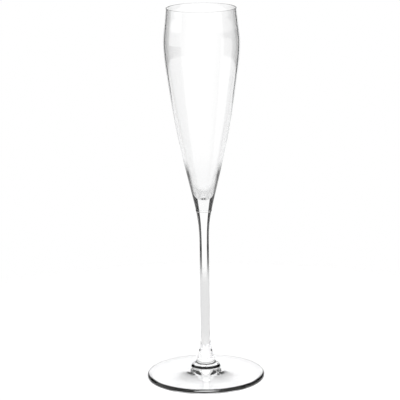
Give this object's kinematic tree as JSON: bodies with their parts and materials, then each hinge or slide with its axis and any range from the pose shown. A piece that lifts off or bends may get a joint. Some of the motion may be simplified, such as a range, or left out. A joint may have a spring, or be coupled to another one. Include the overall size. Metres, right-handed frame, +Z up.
{
  "type": "champagne flute",
  "caption": "Tall mouth-blown champagne flute: narrow tapering bowl with a gently drawn-in lip, slim drawn stem and wide round foot, in clear glass.",
  "frame": {"origin": "centre of the foot, on the table surface", "axes": "+Z up the axis of the stem, from the foot to the rim"},
  "size_m": [0.077, 0.077, 0.2452],
  "materials": {
    "crystal": "clear, fire-polished crystal"
  },
  "bodies": {
    "root": {"bowl": "crystal", "stem": "crystal", "foot": "crystal"}
  },
  "joints": []
}
